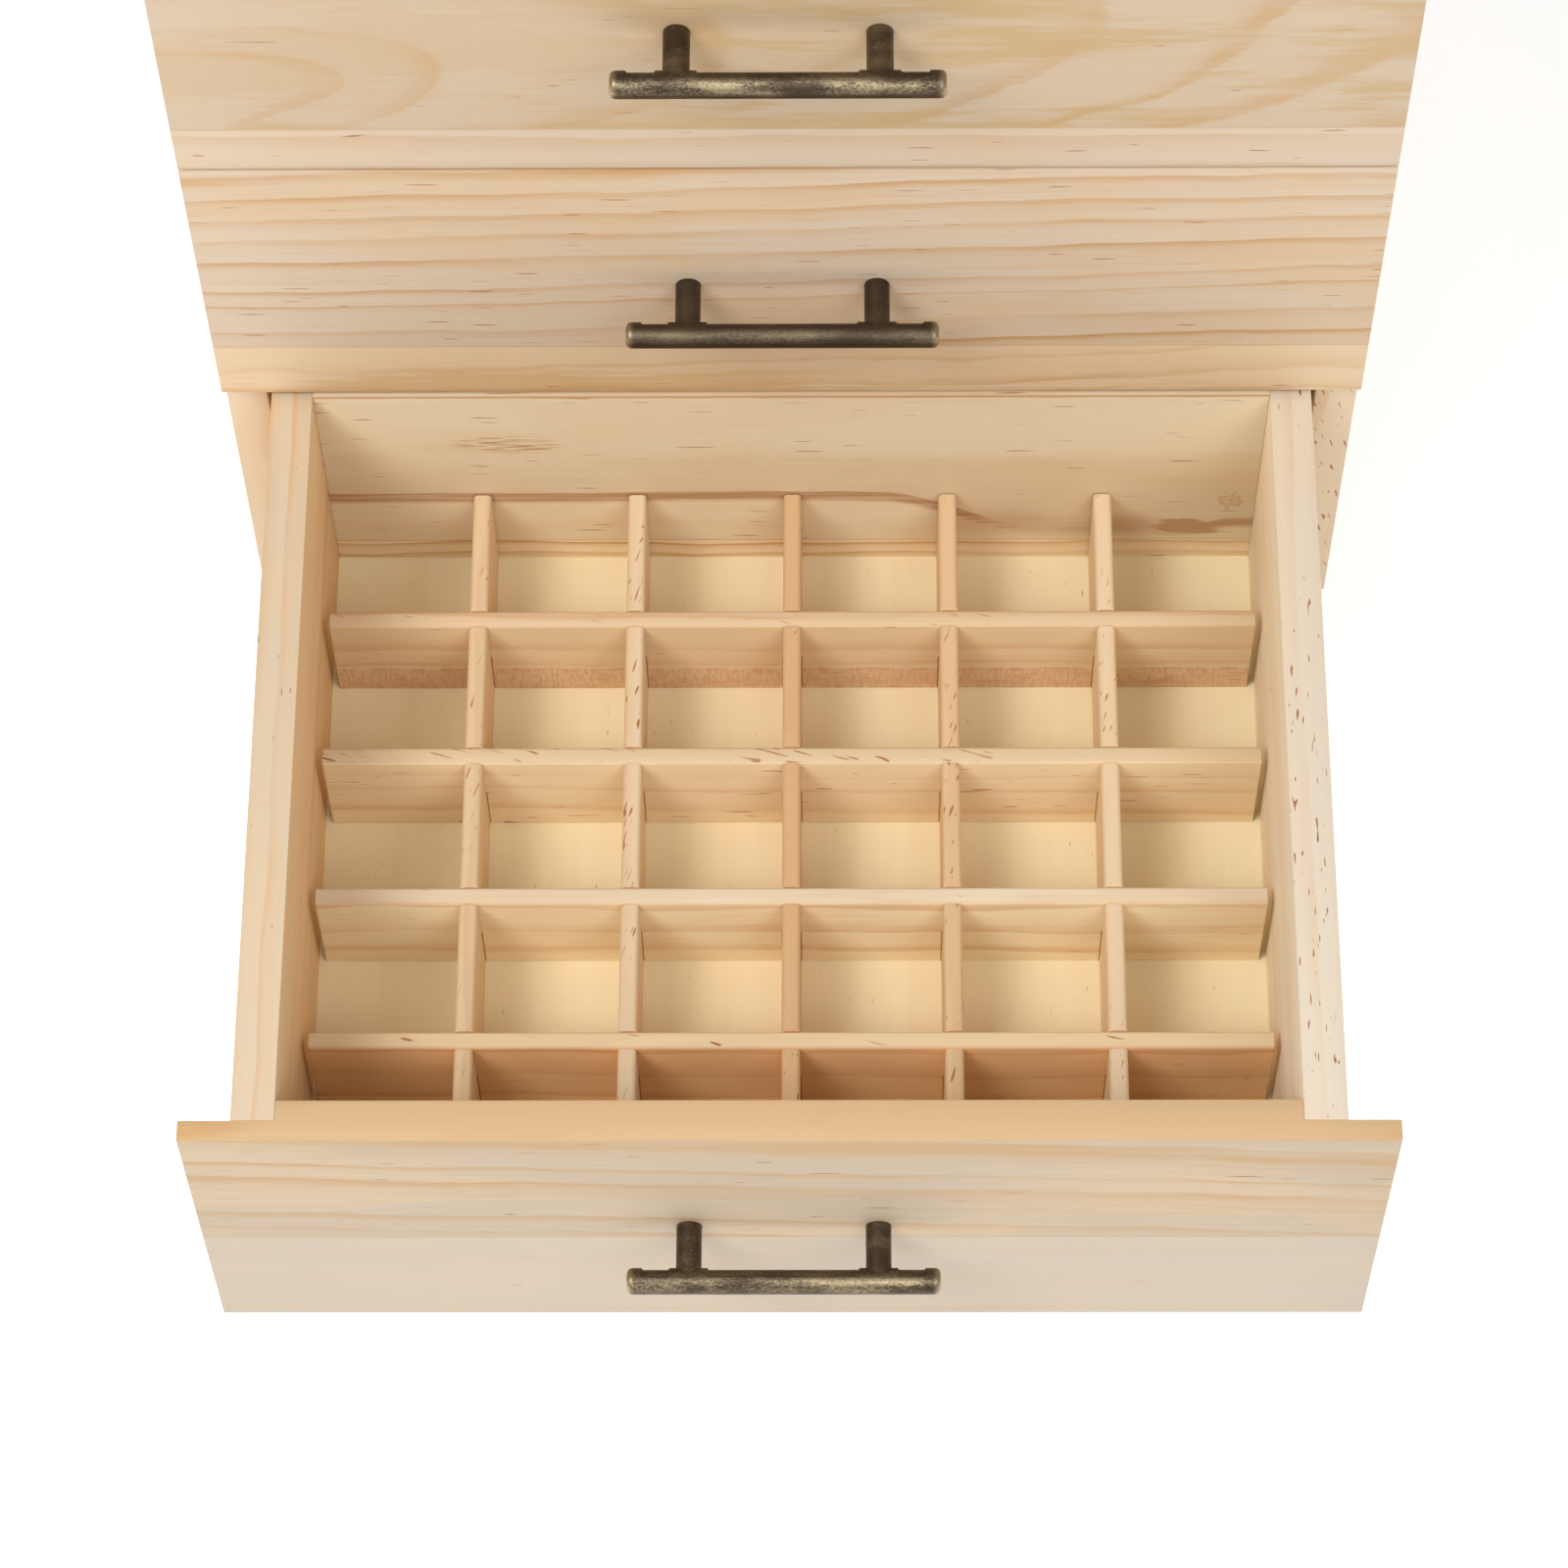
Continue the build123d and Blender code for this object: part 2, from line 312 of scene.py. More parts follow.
def bronze_group():
    """Cast bronze with a dark patina, rubbed through at its ends and on its outer side. The
    lighter rubbed metal on the bar's upper front is also a painted highlight where the lamp's
    reflection falls.
    """
    t, given, out, axes = new_group(
        "Rubbed bronze with painted highlight", {"Centre": 0.0, "Half Length": 0.033, "Bar Depth": 0.0,
                          "Bar Height": 0.0, "Wear": 0.6}, ("Patina", "Rubbed"), SURFACE)
    large = t.noise(axes, 75.0, 240.0, 0.4)
    small = t.noise(axes, 1300.0, 2900.0, 2.6, detail=3.0, roughness=0.7)
    pits = t.noise(axes, 2600.0, 2600.0, 7.1, detail=1.0)
    mottle = t.remap(t.total(t.product(large, 0.55), t.product(small, 0.45)), 0.41, 0.65)
    outer = t.remap(t.minus(given["Bar Depth"], axes[1]), -0.0002, 0.0018)
    # Painted highlight: the upper half of the bar gets the rubbed colour where the lamp's
    # reflection falls
    upper_highlight = t.remap(t.minus(axes[2], given["Bar Height"]), -0.0002, 0.0018)
    reach = t.math("ABSOLUTE", t.minus(axes[0], given["Centre"]))
    ends = t.remap(t.math("DIVIDE", reach, given["Half Length"]), 0.94, 1.0, 0.0, 0.55)
    rub_and_highlight = t.scaled(t.product(outer, upper_highlight), 0.75, 0.28)
    worn_and_highlight = t.product(mottle, rub_and_highlight, given["Wear"])
    worn_and_highlight = t.node("ShaderNodeClamp", Value=t.total(worn_and_highlight, ends)).outputs[0]
    t.feed(out["Color"], t.mix(worn_and_highlight, given["Patina"], given["Rubbed"]))
    t.feed(out["Roughness"], t.remap(worn_and_highlight, 0.0, 1.0, 0.48, 0.34))
    t.feed(out["Height"], t.total(t.product(small, 0.6), t.product(large, 0.3),
                                  t.product(t.remap(pits, 0.62, 0.75), -0.7)))
    return t.tree


def sawn_group():
    """Rough band where a saw left the fibres torn, on the first millimetres above a floor."""
    t, given, out, parts = new_group(
        "Torn fibres", {"Floor": 0.0, "Band": 0.0088, "Height": 0.0}, ("Color", "Torn"),
        SURFACE[:1] + SURFACE[2:])
    rough = t.noise(parts, 1800.0, 260.0, 1.9, detail=3.0, roughness=0.65)
    level = t.noise(parts, 120.0, 900.0, 6.6, detail=1.0)
    edge = t.noise(parts, 260.0, 20.0, 5.2, detail=1.0)
    limit = t.scaled(edge, 0.0016, given["Band"])
    height = t.minus(parts[1], given["Floor"])
    gap = t.minus(limit, height)
    inside = t.remap(gap, 0.0, 0.0006)
    rim = t.product(inside, t.remap(gap, 0.0004, 0.0016, 1.0, 0.0))
    marks = t.larger(t.remap(rough, 0.42, 0.64), t.remap(level, 0.6, 0.7))
    torn = t.product(inside, t.scaled(marks, 0.7, 0.16))
    torn = t.total(torn, t.product(rim, t.remap(edge, 0.4, 0.6), 0.45))
    t.feed(out["Color"], t.mix(torn, given["Color"], given["Torn"]))
    t.feed(out["Height"], t.total(given["Height"], t.product(inside, rough, 1.6)))
    return t.tree


def streak_group():
    """Resin on a drawer back: a level streak that swings down, a thick patch, flecks, a knot, and
    a brown flush that is part tint and part painted shade. There is also a painted shadow along
    the top edge and painted light on the wall below the streak.
    """
    t, given, out, parts = new_group(
        "Resin with painted shade and light", {"Floor": 0.0, "Rim": 0.1, "Face": -0.1, "Width": 0.0015},
        ("Color", "Brown", "Below"), SURFACE[:1])
    along, across, deep = parts
    height = t.minus(across, given["Floor"])
    sway = t.swing(parts, 28.0, 3.0, 4.4)
    ragged = t.swing(parts, 160.0, 700.0, 1.7)

    def away_from(x, z, wide, tall):
        """How many ellipse radii a point lies from the middle of an ellipse."""
        dx = t.math("DIVIDE", t.minus(along, x), wide)
        dz = t.math("DIVIDE", t.minus(height, z), tall)
        return t.math("SQRT", t.total(t.product(dx, dx), t.product(dz, dz)))

    fall = t.product(t.remap(along, 0.02, 0.058), -0.0155)
    rise = t.product(t.remap(along, 0.086, 0.102), 0.004)
    line = t.total(fall, rise, t.product(sway, 0.003), 0.0285)
    away = t.math("DIVIDE", t.minus(height, line), given["Width"])
    above = t.remap(away, 0.2, 0.7, 1.0, 0.0)
    below = t.remap(away, -2.9, -1.3)
    grain = t.noise(parts, 40.0, 900.0, 8.8, detail=1.0)
    broken = t.larger(t.remap(along, 0.042, 0.058, 1.0, 0.3),
                      t.remap(along, 0.086, 0.092, 0.3, 0.9))
    streak = t.product(above, below, t.remap(grain, 0.25, 0.65, 0.5, 1.0), broken)
    patch = t.total(away_from(0.0895, 0.0136, 0.0085, 0.0036), t.product(ragged, 1.2),
                    t.product(sway, 0.8))
    patch = t.product(t.remap(patch, 0.6, 1.05, 1.0, 0.0), 0.85)
    # Brown flush low on the wall: part brown tint in the wood, part painted shade in the cells
    flush = t.larger(t.remap(away_from(0.048, 0.016, 0.02, 0.01), 0.1, 1.0, 0.52, 0.0),
                     t.remap(away_from(0.076, 0.0145, 0.012, 0.008), 0.1, 1.0, 0.58, 0.0))
    flecks = t.noise(parts, 150.0, 2600.0, 3.6, detail=0.0)
    flecks = t.product(t.remap(flecks, 0.52, 0.6),
                       t.remap(away_from(-0.0635, 0.05, 0.015, 0.0045), 0.3, 1.0, 1.3, 0.0))
    lumps = t.swing(parts, 620.0, 620.0, 2.3, detail=1.0)
    knot = t.math("ADD", away_from(0.0995, 0.025, 0.0024, 0.003), t.product(lumps, 1.8))
    ring = t.remap(t.math("ABSOLUTE", t.minus(knot, 0.8)), 0.05, 0.45, 0.5, 0.0)
    core = t.remap(knot, 0.1, 0.55, 0.45, 0.0)
    # Painted shadow: a dark line along the top edge of the back, darkest at its front face, where
    # the drawer front above shades it
    rim = t.minus(t.minus(given["Rim"], across), t.product(ragged, 0.0005))
    front = t.remap(t.minus(deep, given["Face"]), 0.0001, 0.0005, 1.0, 0.0)
    rim = t.product(t.remap(rim, 0.0003, 0.0008, 1.0, 0.0), t.scaled(front, 0.65, 0.25))
    amount = streak
    for mark in (patch, flush, flecks, ring, core, rim):
        amount = t.larger(amount, mark)
    # Painted light: the wall below the streak, down in the cells, is made lighter to stand in for
    # the light that reaches it
    color = t.tinted(t.remap(away, -2.6, -0.2, 1.0, 0.0), given["Color"], given["Below"])
    t.feed(out["Color"], t.mix(amount, color, given["Brown"]))
    return t.tree


def stain_group():
    """Greenish tan patches with feathered edges, right of a place and along a glue line."""
    t, given, out, parts = new_group(
        "Stain", {"Start": 0.0, "Seam": 0.0}, ("Color", "Stain"), SURFACE[:1])
    cloud = t.noise(parts, 17.0, 95.0, 2.7, roughness=0.6)
    feather = t.noise(parts, 60.0, 900.0, 6.1, detail=1.0)
    patch = t.remap(t.scaled(feather, 0.22, cloud), 0.58, 0.72)
    reach = t.remap(t.minus(parts[0], given["Start"]), -0.02, 0.03)
    rise = t.minus(parts[1], given["Seam"])
    swell = t.noise(parts, 26.0, 30.0, 5.5, detail=1.0)
    low = t.product(t.remap(rise, 0.0008, 0.0055, 1.0, 0.0), t.remap(swell, 0.46, 0.6))
    amount = t.larger(t.product(patch, reach), low)
    amount = t.product(amount, t.remap(rise, 0.0, 0.0006), 0.75)
    t.feed(out["Color"], t.mix(amount, given["Color"], given["Stain"]))
    return t.tree


def opaque(color, tint=(1.0, 1.0, 1.0)):
    """Colour with full alpha, multiplied by a tint."""
    return (*(min(1.0, part * share) for part, share in zip(color, tint)), 1.0)


def look(own=None, **values):
    """Values for the pine group. Early, Late and Warm are tints of the wood's or of one colour."""
    wood = bpy.context.scene.box_wood
    colors = {"Early": own or wood.early, "Late": own or wood.late, "Warm": own or wood.warm}
    return {key.replace("_", " "): opaque(colors[key], value) if key in colors else value
            for key, value in values.items()}


def start_material(name, order):
    """New material, its tree and the place on the board as along, across and deep."""
    material = bpy.data.materials.new(name)
    material.use_nodes = True
    t = Tree(material.node_tree)
    parts = t.split(t.node("ShaderNodeTexCoord").outputs["Object"])
    axes = tuple(parts[axis] for axis in order)
    return material, t, axes, t.join(*axes)


def finish_material(material, t, color, roughness, height, bump, specular, metallic=0.0):
    shader = material.node_tree.nodes["Principled BSDF"]
    t.feed(shader.inputs["Base Color"], color)
    t.feed(shader.inputs["Roughness"], roughness)
    shader.inputs["Metallic"].default_value = metallic
    shader.inputs["Specular IOR Level"].default_value = specular
    lift = t.node("ShaderNodeBump", Height=height, Strength=1.0, Distance=bump)
    t.feed(shader.inputs["Normal"], lift.outputs[0])
    return material


BUMP_WOOD = 0.00006
BUMP_METAL = 0.00007
ALONG_X = "XZY"
ALONG_X_FLAT = "XYZ"
ALONG_Y = "YZX"
ALONG_Y_FLAT = "YXZ"
ALONG_Z = "ZYX"


def pine(name, order, layers, extra=None, painted_face_light=None):
    """Pine for one board. Each layer holds its lower limit across the grain and its values. A face
    tint paints bounce light and shade onto the broad faces.
    """
    wood = bpy.context.scene.box_wood
    material, t, axes, vector = start_material(name, order)
    normal = t.split(t.node("ShaderNodeTexCoord").outputs["Normal"])
    end_grain = t.remap(t.math("ABSOLUTE", normal[order[0]]), 0.85, 0.95)
    narrow = t.remap(t.math("ABSOLUTE", normal[order[1]]), 0.5, 0.7)
    settings = dict(PINE_NUMBERS)
    settings.update({"Early": opaque(wood.early), "Late": opaque(wood.late),
                     "Warm": opaque(wood.warm), "Resin": opaque(wood.resin)})
    joint = None
    for limit, values in layers:
        if limit is None:
            settings.update(values)
            continue
        mask = t.math("GREATER_THAN", axes[1], limit)
        for key, value in values.items():
            settings[key] = t.mix(mask, settings[key], value)
        gap = t.math("ABSOLUTE", t.minus(axes[1], limit))
        line = t.remap(gap, 0.00005, 0.00032, 0.55, 0.0)
        joint = line if joint is None else t.larger(joint, line)
    settings["End Grain"] = end_grain
    settings["Slant"] = t.product(narrow, settings["Slant"])
    if painted_face_light is not None:
        settings["Dashes"] = t.product(t.scaled(narrow, 0.65, 0.35), settings["Dashes"])
    grain = t.group("Pine grain", pine_group, Vector=vector, **settings)
    color, height = grain["Color"], grain["Height"]
    if joint is not None:
        color = t.mix(joint, color, opaque(wood.late, (0.8, 0.8, 0.8)))
    if extra is not None:
        color, height = extra(t, vector, color, height)
    # Painted light: the broad faces are multiplied by a tint that stands in for the bounce light
    # and shade they get
    if painted_face_light is not None:
        color = t.tinted(t.minus(1.0, narrow), color, painted_face_light)
    return finish_material(material, t, color, grain["Roughness"], height, BUMP_WOOD, 0.3)


def bronze(name, middle, wear, patina, rubbed):
    material, t, axes, vector = start_material(name, ALONG_X_FLAT)
    metal = t.group("Rubbed bronze with painted highlight", bronze_group, Vector=vector, Centre=middle[0],
                    Bar_Depth=middle[1], Bar_Height=middle[2], Wear=wear,
                    Patina=opaque(patina), Rubbed=opaque(rubbed))
    return finish_material(material, t, metal["Color"], metal["Roughness"], metal["Height"],
                           BUMP_METAL, 0.5, metallic=1.0)


def veneer(name, order, seed, tint=(1.0, 1.0, 1.0)):
    """Smooth pale plywood face with faint stripes and a few small specks."""
    wood = bpy.context.scene.box_wood
    return pine(name, order, [(None, look(
        wood.veneer, Seed=seed, Ring_Width=0.013, Pith_Across=0.3, Pith_Deep=-0.9, Wave=0.02,
        Contrast=0.22, Patches=0.16, Streaks=0.4, Dashes=0.1, Dash_Length=0.0014, Early=tint,
        Late=(0.9, 0.8, 0.62), Warm=(0.97, 0.9, 0.76), Resin=opaque(wood.late)))])


def steel_material():
    """Zinc-plated steel with a faint cloudy sheen."""
    name = "zinc steel"
    if name in bpy.data.materials:
        return bpy.data.materials[name]
    return bronze(name, (0.0, 0.0, 0.0), 1.0, (0.42, 0.41, 0.38), (0.62, 0.61, 0.58))


# Modelling steps
def deselect():
    bpy.ops.object.select_all(action="DESELECT")


def take(piece):
    """Make one piece the only selected and active object."""
    deselect()
    piece.select_set(True)
    bpy.context.view_layer.objects.active = piece


def settle(piece, name):
    """Name a piece and put its place into its mesh."""
    take(piece)
    bpy.ops.object.transform_apply(location=True, rotation=True, scale=True)
    piece.name = name
    piece.data.name = name
    return piece


def block(name, low, high):
    """Rough board between two corners."""
    deselect()
    low, high = Vector(low), Vector(high)
    bpy.ops.mesh.primitive_cube_add(size=1.0, location=(low + high) / 2)
    piece = bpy.context.object
    piece.scale = high - low
    return settle(piece, name)


def round_bar(name, radius, low, high, turn, sides):
    """Cylinder between two points along X or Y."""
    deselect()
    low, high = Vector(low), Vector(high)
    bpy.ops.mesh.primitive_cylinder_add(
        vertices=sides, radius=radius, depth=(high - low).length, location=(low + high) / 2,
        rotation=turn)
    return settle(bpy.context.object, name)


TURN_TO_X = (0.0, radians(90), 0.0)
TURN_TO_Y = (radians(-90), 0.0, 0.0)


def begin_edit(piece, kind="FACE"):
    take(piece)
    bpy.ops.object.mode_set(mode="EDIT")
    bpy.ops.mesh.select_mode(type=kind)
    bpy.ops.mesh.select_all(action="SELECT")


def end_edit():
    bpy.ops.object.mode_set(mode="OBJECT")


def axis_vector(axis, length):
    vector = [0.0, 0.0, 0.0]
    vector[axis] = length
    return vector


def cut(axis, places):
    """Cut the mesh in hand across one axis at each place."""
    for place in places:
        bpy.ops.mesh.select_all(action="SELECT")
        bpy.ops.mesh.bisect(plane_co=axis_vector(axis, place), plane_no=axis_vector(axis, 1.0))


def pick(piece, find):
    """Select only the faces or edges that a search through the mesh finds."""
    mesh = bmesh.from_edit_mesh(piece.data)
    bpy.ops.mesh.select_all(action="DESELECT")
    chosen = find(mesh)
    for item in chosen:
        item.select_set(True)
    mesh.select_flush_mode()
    bmesh.update_edit_mesh(piece.data)
    if not chosen:
        raise RuntimeError(f"{piece.name}: nothing to work on")


def pick_faces(piece, test):
    """Select the faces whose centre and normal pass a test."""
    pick(piece, lambda mesh: [face for face in mesh.faces
                              if test(face.calc_center_median(), face.normal)])


def pick_edges(piece, test):
    """Select the edges whose two ends pass a test."""
    bpy.ops.mesh.select_mode(type="EDGE")
    pick(piece, lambda mesh: [edge for edge in mesh.edges
                              if test(edge.verts[0].co, edge.verts[1].co)])


def push(offset):
    """Extrude the selected faces by an offset."""
    bpy.ops.mesh.extrude_region_move(TRANSFORM_OT_translate={"value": offset})


def modify(piece, kind, **settings):
    """Add a modifier, set it up and apply it."""
    take(piece)
    modifier = piece.modifiers.new(kind.title(), kind)
    for key, value in settings.items():
        setattr(modifier, key, value)
    bpy.ops.object.modifier_apply(modifier=modifier.name)


def ease(piece, width, segments=2):
    """Round the sharp edges as sandpaper does."""
    modify(piece, "BEVEL", width=width, segments=segments, limit_method="ANGLE",
           angle_limit=radians(40), harden_normals=False)
    take(piece)
    bpy.ops.object.shade_smooth_by_angle(angle=radians(35))


def cut_away(piece, tool):
    """Take the tool's shape out of a piece."""
    modify(piece, "BOOLEAN", operation="DIFFERENCE", solver="EXACT", object=tool)
    bpy.data.objects.remove(tool)


def body_of(node):
    """The body that holds a node."""
    for body, nodes in frame["record"]["behaviour"]["bodies"].items():
        if node in nodes:
            return body
    raise RuntimeError(f"{node} is on no body")


def place(piece, node, slot, material):
    """Let a finished piece stand for its node, on the node's body and with its material."""
    piece.data.materials.clear()
    piece.data.materials.append(material)
    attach(piece, body_of(node))
    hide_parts(node)


def copy_to(piece, name, offset):
    """Copy of a piece with its own mesh, moved by an offset."""
    twin = piece.copy()
    twin.data = piece.data.copy()
    bpy.context.collection.objects.link(twin)
    twin.location = offset
    return settle(twin, name)


def dress(node, material):
    """Give a kept node a material."""
    item = frame["nodes"][node]
    item.data.materials.clear()
    item.data.materials.append(material)


def board(node, *grooves):
    """Board of a node's own size with sanded edges, after its grooves are sunk."""
    piece = block(f"{node}_board", *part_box(node))
    for values in grooves:
        groove(piece, *values)
    ease(piece, bpy.context.scene.box_wood.edge_ease)
    return piece


def between(value, low, high):
    return low < value < high


def groove(piece, axis, side, low, high, depth):
    """Sink a groove between two heights into the face on one side of an axis."""
    begin_edit(piece)
    cut(2, (low, high))
    level = max(side * corner[axis] for corner in piece.bound_box)
    pick_faces(piece, lambda centre, normal: normal[axis] * side > 0.9
               and side * centre[axis] > level - 0.0001 and between(centre.z, low, high))
    push(axis_vector(axis, -side * depth))
    end_edit()


# Operators, one for each group of pieces
class BOX_OT_cabinet(bpy.types.Operator):
    """Build the sides, top and bottom of the cabinet and finish its thin panels"""
    bl_idname = "box.cabinet"
    bl_label = "Cabinet"

    def execute(self, context):
        wood = context.scene.box_wood
        side_values = look(
            Ring_Width=0.0085, Pith_Deep=0.03, Wave=0.012, Contrast=0.62, Patches=0.35,
            Dash_Length=0.0027, Slant=-0.28, Early=(0.885, 0.89, 0.865))
        for node, seed, pith, flecks in (("cabinet_side_left", 11.4, 0.32, 0.1),
                                         ("cabinet_side_right", 23.7, 0.28, 1.0)):
            values = {**side_values, "Seed": seed, "Pith Across": pith, "Dashes": flecks}
            place(cabinet_side(node, wood.edge_ease), node, "pine",
                  pine(f"{node} pine", ALONG_Z, [(None, values)], painted_face_light=(1.0, 0.98, 0.96)))
        for node, seed in (("cabinet_top", 31.2), ("cabinet_bottom", 37.6)):
            values = look(
                Seed=seed, Ring_Width=0.01, Pith_Across=-0.02, Pith_Deep=0.22, Lean=0.16,
                Wave=0.014, Contrast=0.5, Patches=0.4)
            place(board(node), node, "pine",
                  pine(f"{node} pine", ALONG_X_FLAT, [(None, values)]))
        panel = veneer("cabinet veneer", ALONG_Z, 3.3, (1.02, 0.92, 1.04))
        for node in ("cabinet_back", "shelf_lower", "shelf_upper"):
            dress(node, panel)
        dress("back_brads", steel_material())
        return {"FINISHED"}


def cabinet_side(node, width):
    """Side board with its seats for the top, the bottom, the shelves and the back."""
    low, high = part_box(node)
    side = 1 if low[0] < 0 else -1
    back_low, back_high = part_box("cabinet_back")
    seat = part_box("cabinet_top")[1][0]
    heights = []
    for panel in ("cabinet_bottom", "shelf_lower", "shelf_upper", "cabinet_top"):
        panel_low, panel_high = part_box(panel)
        heights.append((panel_low[2], panel_high[2]))
    solid = [(below[1], above[0]) for below, above in zip(heights, heights[1:])]
    let_in = back_high[0]
    outer, inner = (low[0], high[0]) if side > 0 else (high[0], low[0])
    corners = sorted((outer, -side * let_in))
    piece = block(f"{node}_board", (corners[0], low[1], low[2]), (corners[1], high[1], high[2]))
    begin_edit(piece)
    cut(1, [back_low[1]])
    cut(2, [height for span in solid for height in span])
    pick_faces(piece, lambda centre, normal: normal.x * side > 0.9 and centre.y < back_low[1])
    push((side * (let_in - seat), 0.0, 0.0))
    pick_faces(piece, lambda centre, normal: normal.x * side > 0.9 and centre.y < back_low[1]
               and any(between(centre.z, *span) for span in solid))
    push((side * (seat - abs(inner)), 0.0, 0.0))
    end_edit()
    ease(piece, width)
    return piece


class BOX_OT_fronts(bpy.types.Operator):
    """Build the three lipped drawer fronts"""
    bl_idname = "box.fronts"
    bl_label = "Drawer fronts"

    def execute(self, context):
        for name in DRAWERS:
            node = f"{name}_drawer_front"
            place(lipped_front(node, name), node, "pine", front_pine(name))
        return {"FINISHED"}


def lipped_front(node, name):
    """One board: a lip all round, and a thicker middle with a groove for the base."""
    wood = bpy.context.scene.box_wood
    low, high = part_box(node)
    side_low, side_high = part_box(f"{name}_drawer_side_left")
    base_low, base_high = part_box(f"{name}_drawer_base")
    inner, lip_back = side_high[0], side_low[1]
    piece = block(f"{name}_front_board", low, (high[0], lip_back, high[2]))
    heights = [side_low[2]]
    if side_high[2] < high[2] - 0.001:
        heights.append(side_high[2])
    begin_edit(piece)
    cut(0, (inner, -inner))
    cut(2, heights)
    pick_faces(piece, lambda centre, normal: normal.y > 0.9 and abs(centre.x) < -inner
               and between(centre.z, side_low[2], side_high[2]))
    push((0.0, high[1] - lip_back, 0.0))
    end_edit()
    groove(piece, 1, 1, base_low[2], base_high[2], high[1] - base_low[1])
    ease(piece, wood.edge_ease)
    handle_low, handle_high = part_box(f"{name}_handle")
    spacing = bpy.context.scene.box_handle.hole_spacing
    for side in (-1, 1):
        x = (handle_low[0] + handle_high[0] + side * spacing) / 2
        z = (handle_low[2] + handle_high[2]) / 2
        cut_away(piece, round_bar("drill", wood.screw_hole, (x, low[1] - 0.001, z),
                                  (x, high[1] + 0.001, z), TURN_TO_Y, 24))
    return piece


# Heights of the glue lines of the fronts, and where the top front's stain starts
BOTTOM_SEAM, MIDDLE_SEAM, TOP_SEAM = 0.0437, 0.1148, 0.1963
STAIN_START = -0.035


def front_pine(name):
    """Each front is glued from two boards out of other parts of the log."""
    wood = bpy.context.scene.box_wood
    if name == "bottom":
        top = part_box("bottom_drawer_front")[1][2]
        plain = look(
            Seed=4.3, Ring_Width=0.0095, Pith_Across=0.3, Pith_Deep=-0.2, Wave=0.008,
            Contrast=0.35, Patches=0.12, Streaks=0.3, Dashes=0.05, Early=(0.665, 0.708, 0.765),
            Late=(0.86, 0.94, 0.98))
        lined = look(
            Seed=6.2, Ring_Width=0.007, Pith_Across=-0.12, Pith_Deep=-0.05, Rise=-0.05,
            Contrast=1.4, Patches=0.25, Streaks=0.24, Dashes=0.15, Early=(0.625, 0.635, 0.64),
            Late=(0.77, 0.82, 0.85))
        edge = look(
            Contrast=0.3, Ring_Width=0.02, Patches=0.7, Early=(0.8, 0.68, 0.505),
            Warm=(0.82, 0.66, 0.48))
        layers = [(None, plain), (BOTTOM_SEAM, lined), (top - EDGE_BAND, edge)]
    elif name == "middle":
        tan = look(
            Seed=8.6, Ring_Width=0.007, Pith_Across=0.12, Pith_Deep=-0.09, Rise=0.035,
            Wave=0.016, Wobble=2.4, Contrast=0.62, Patches=0.75, Dashes=0.15,
            Early=(0.925, 0.875, 0.775), Late=(0.92, 0.92, 0.86), Warm=(0.9, 0.83, 0.7))
        lined = look(
            Seed=9.5, Ring_Width=0.0083, Pith_Across=-0.25, Pith_Deep=-0.1, Wave=0.01,
            Wobble=1.3, Contrast=1.15, Patches=0.35, Dashes=0.5, Dash_Length=0.005,
            Early=(0.785, 0.795, 0.81), Late=(0.85, 0.84, 0.82))
        layers = [(None, tan), (MIDDLE_SEAM, lined)]
    else:
        strip = look(
            Seed=13.1, Ring_Width=0.0075, Pith_Across=-0.2, Pith_Deep=-0.1, Contrast=0.65,
            Patches=0.2, Dashes=0.1, Early=(0.81, 0.83, 0.86), Late=(0.9, 0.96, 0.98))
        swirl = look(
            Seed=15.8, Ring_Width=0.009, Pith_Across=0.226, Pith_Deep=-0.142, Lean=0.22,
            Rise=0.16, Wave=0.014, Wobble=1.8, Contrast=0.72, Patches=0.45, Dashes=0.1,
            Early=(0.735, 0.732, 0.72), Late=(0.84, 0.86, 0.82), Warm=(0.76, 0.76, 0.72))
        layers = [(None, strip), (TOP_SEAM, swirl)]

    def stain(t, vector, color, height):
        mark = t.group("Stain", stain_group, Vector=vector, Start=STAIN_START, Seam=TOP_SEAM,
                       Color=color, Stain=opaque(wood.warm, (0.72, 0.7, 0.6)))
        return mark["Color"], height

    return pine(f"{name} front pine", ALONG_X, layers, stain if name == "top" else None)


class BOX_OT_drawer_boxes(bpy.types.Operator):
    """Build the sides and backs of the drawers and finish their bases"""
    bl_idname = "box.drawer_boxes"
    bl_label = "Drawer boxes"

    def execute(self, context):
        for count, name in enumerate(DRAWERS):
            base_low, base_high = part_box(f"{name}_drawer_base")
            for side, sign in (("left", 1), ("right", -1)):
                node = f"{name}_drawer_side_{side}"
                inner = min(abs(corner[0]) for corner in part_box(node))
                seat = (0, sign, base_low[2], base_high[2], base_high[0] - inner)
                place(board(node, seat), node, "pine", side_pine(node, side, count))
            node = f"{name}_drawer_back"
            seat = (1, -1, base_low[2], base_high[2], base_high[1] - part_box(node)[0][1])
            place(board(node, seat), node, "pine", back_pine(node, base_high[2], count))
            dress(f"{name}_drawer_base", veneer(f"{name} base veneer", ALONG_Y_FLAT,
                                                70.3 + 3.7 * count))
        return {"FINISHED"}


